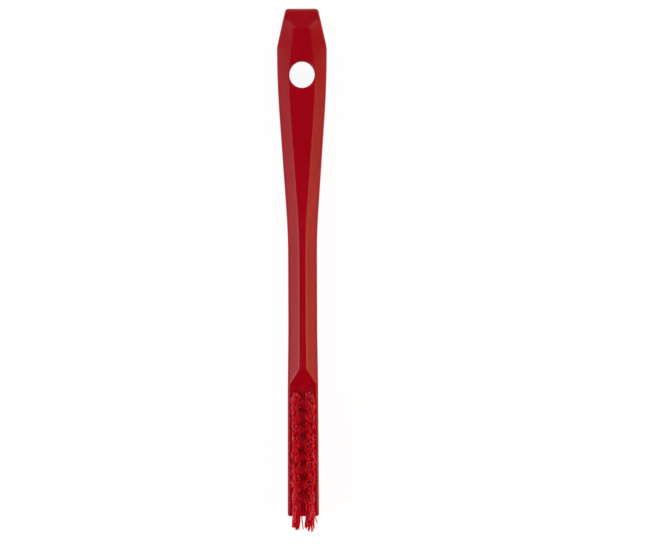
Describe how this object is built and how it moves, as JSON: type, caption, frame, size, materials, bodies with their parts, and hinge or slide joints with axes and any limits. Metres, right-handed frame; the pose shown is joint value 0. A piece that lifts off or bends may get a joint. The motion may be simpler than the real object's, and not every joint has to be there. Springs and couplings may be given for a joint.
{
  "type": "detailing brush",
  "caption": "Slim moulded cleaning brush with a faceted tapering handle, a hanging hole, and columns of stiff bristle tufts that lean forward at the toe.",
  "frame": {"origin": "middle of the bounding box's base: under the middle of the brush, on the plane of its flat back", "axes": "+Z out of the flat back towards the bristle tips, +Y along the brush from the bristle toe to the end with the hanging hole, +X across it"},
  "size_m": [0.0192, 0.2048, 0.0253],
  "materials": {
    "red_polypropylene": "satin",
    "red_filament": "satin",
    "stainless_steel": "satin"
  },
  "bodies": {
    "root": {"brush_body": "red_polypropylene", "tuft_left_1": "red_filament", "tuft_left_2": "red_filament", "tuft_left_3": "red_filament", "tuft_left_4": "red_filament", "tuft_left_5": "red_filament", "tuft_left_6": "red_filament", "tuft_left_7": "red_filament", "tuft_left_8": "red_filament", "tuft_left_9": "red_filament", "tuft_right_1": "red_filament", "tuft_right_2": "red_filament", "tuft_right_3": "red_filament", "tuft_right_4": "red_filament", "tuft_right_5": "red_filament", "tuft_right_6": "red_filament", "tuft_right_7": "red_filament", "tuft_right_8": "red_filament", "tuft_right_9": "red_filament", "anchor_left_1": "stainless_steel", "anchor_left_2": "stainless_steel", "anchor_left_3": "stainless_steel", "anchor_left_4": "stainless_steel", "anchor_left_5": "stainless_steel", "anchor_left_6": "stainless_steel", "anchor_left_7": "stainless_steel", "anchor_left_8": "stainless_steel", "anchor_left_9": "stainless_steel", "anchor_right_1": "stainless_steel", "anchor_right_2": "stainless_steel", "anchor_right_3": "stainless_steel", "anchor_right_4": "stainless_steel", "anchor_right_5": "stainless_steel", "anchor_right_6": "stainless_steel", "anchor_right_7": "stainless_steel", "anchor_right_8": "stainless_steel", "anchor_right_9": "stainless_steel"}
  },
  "joints": []
}
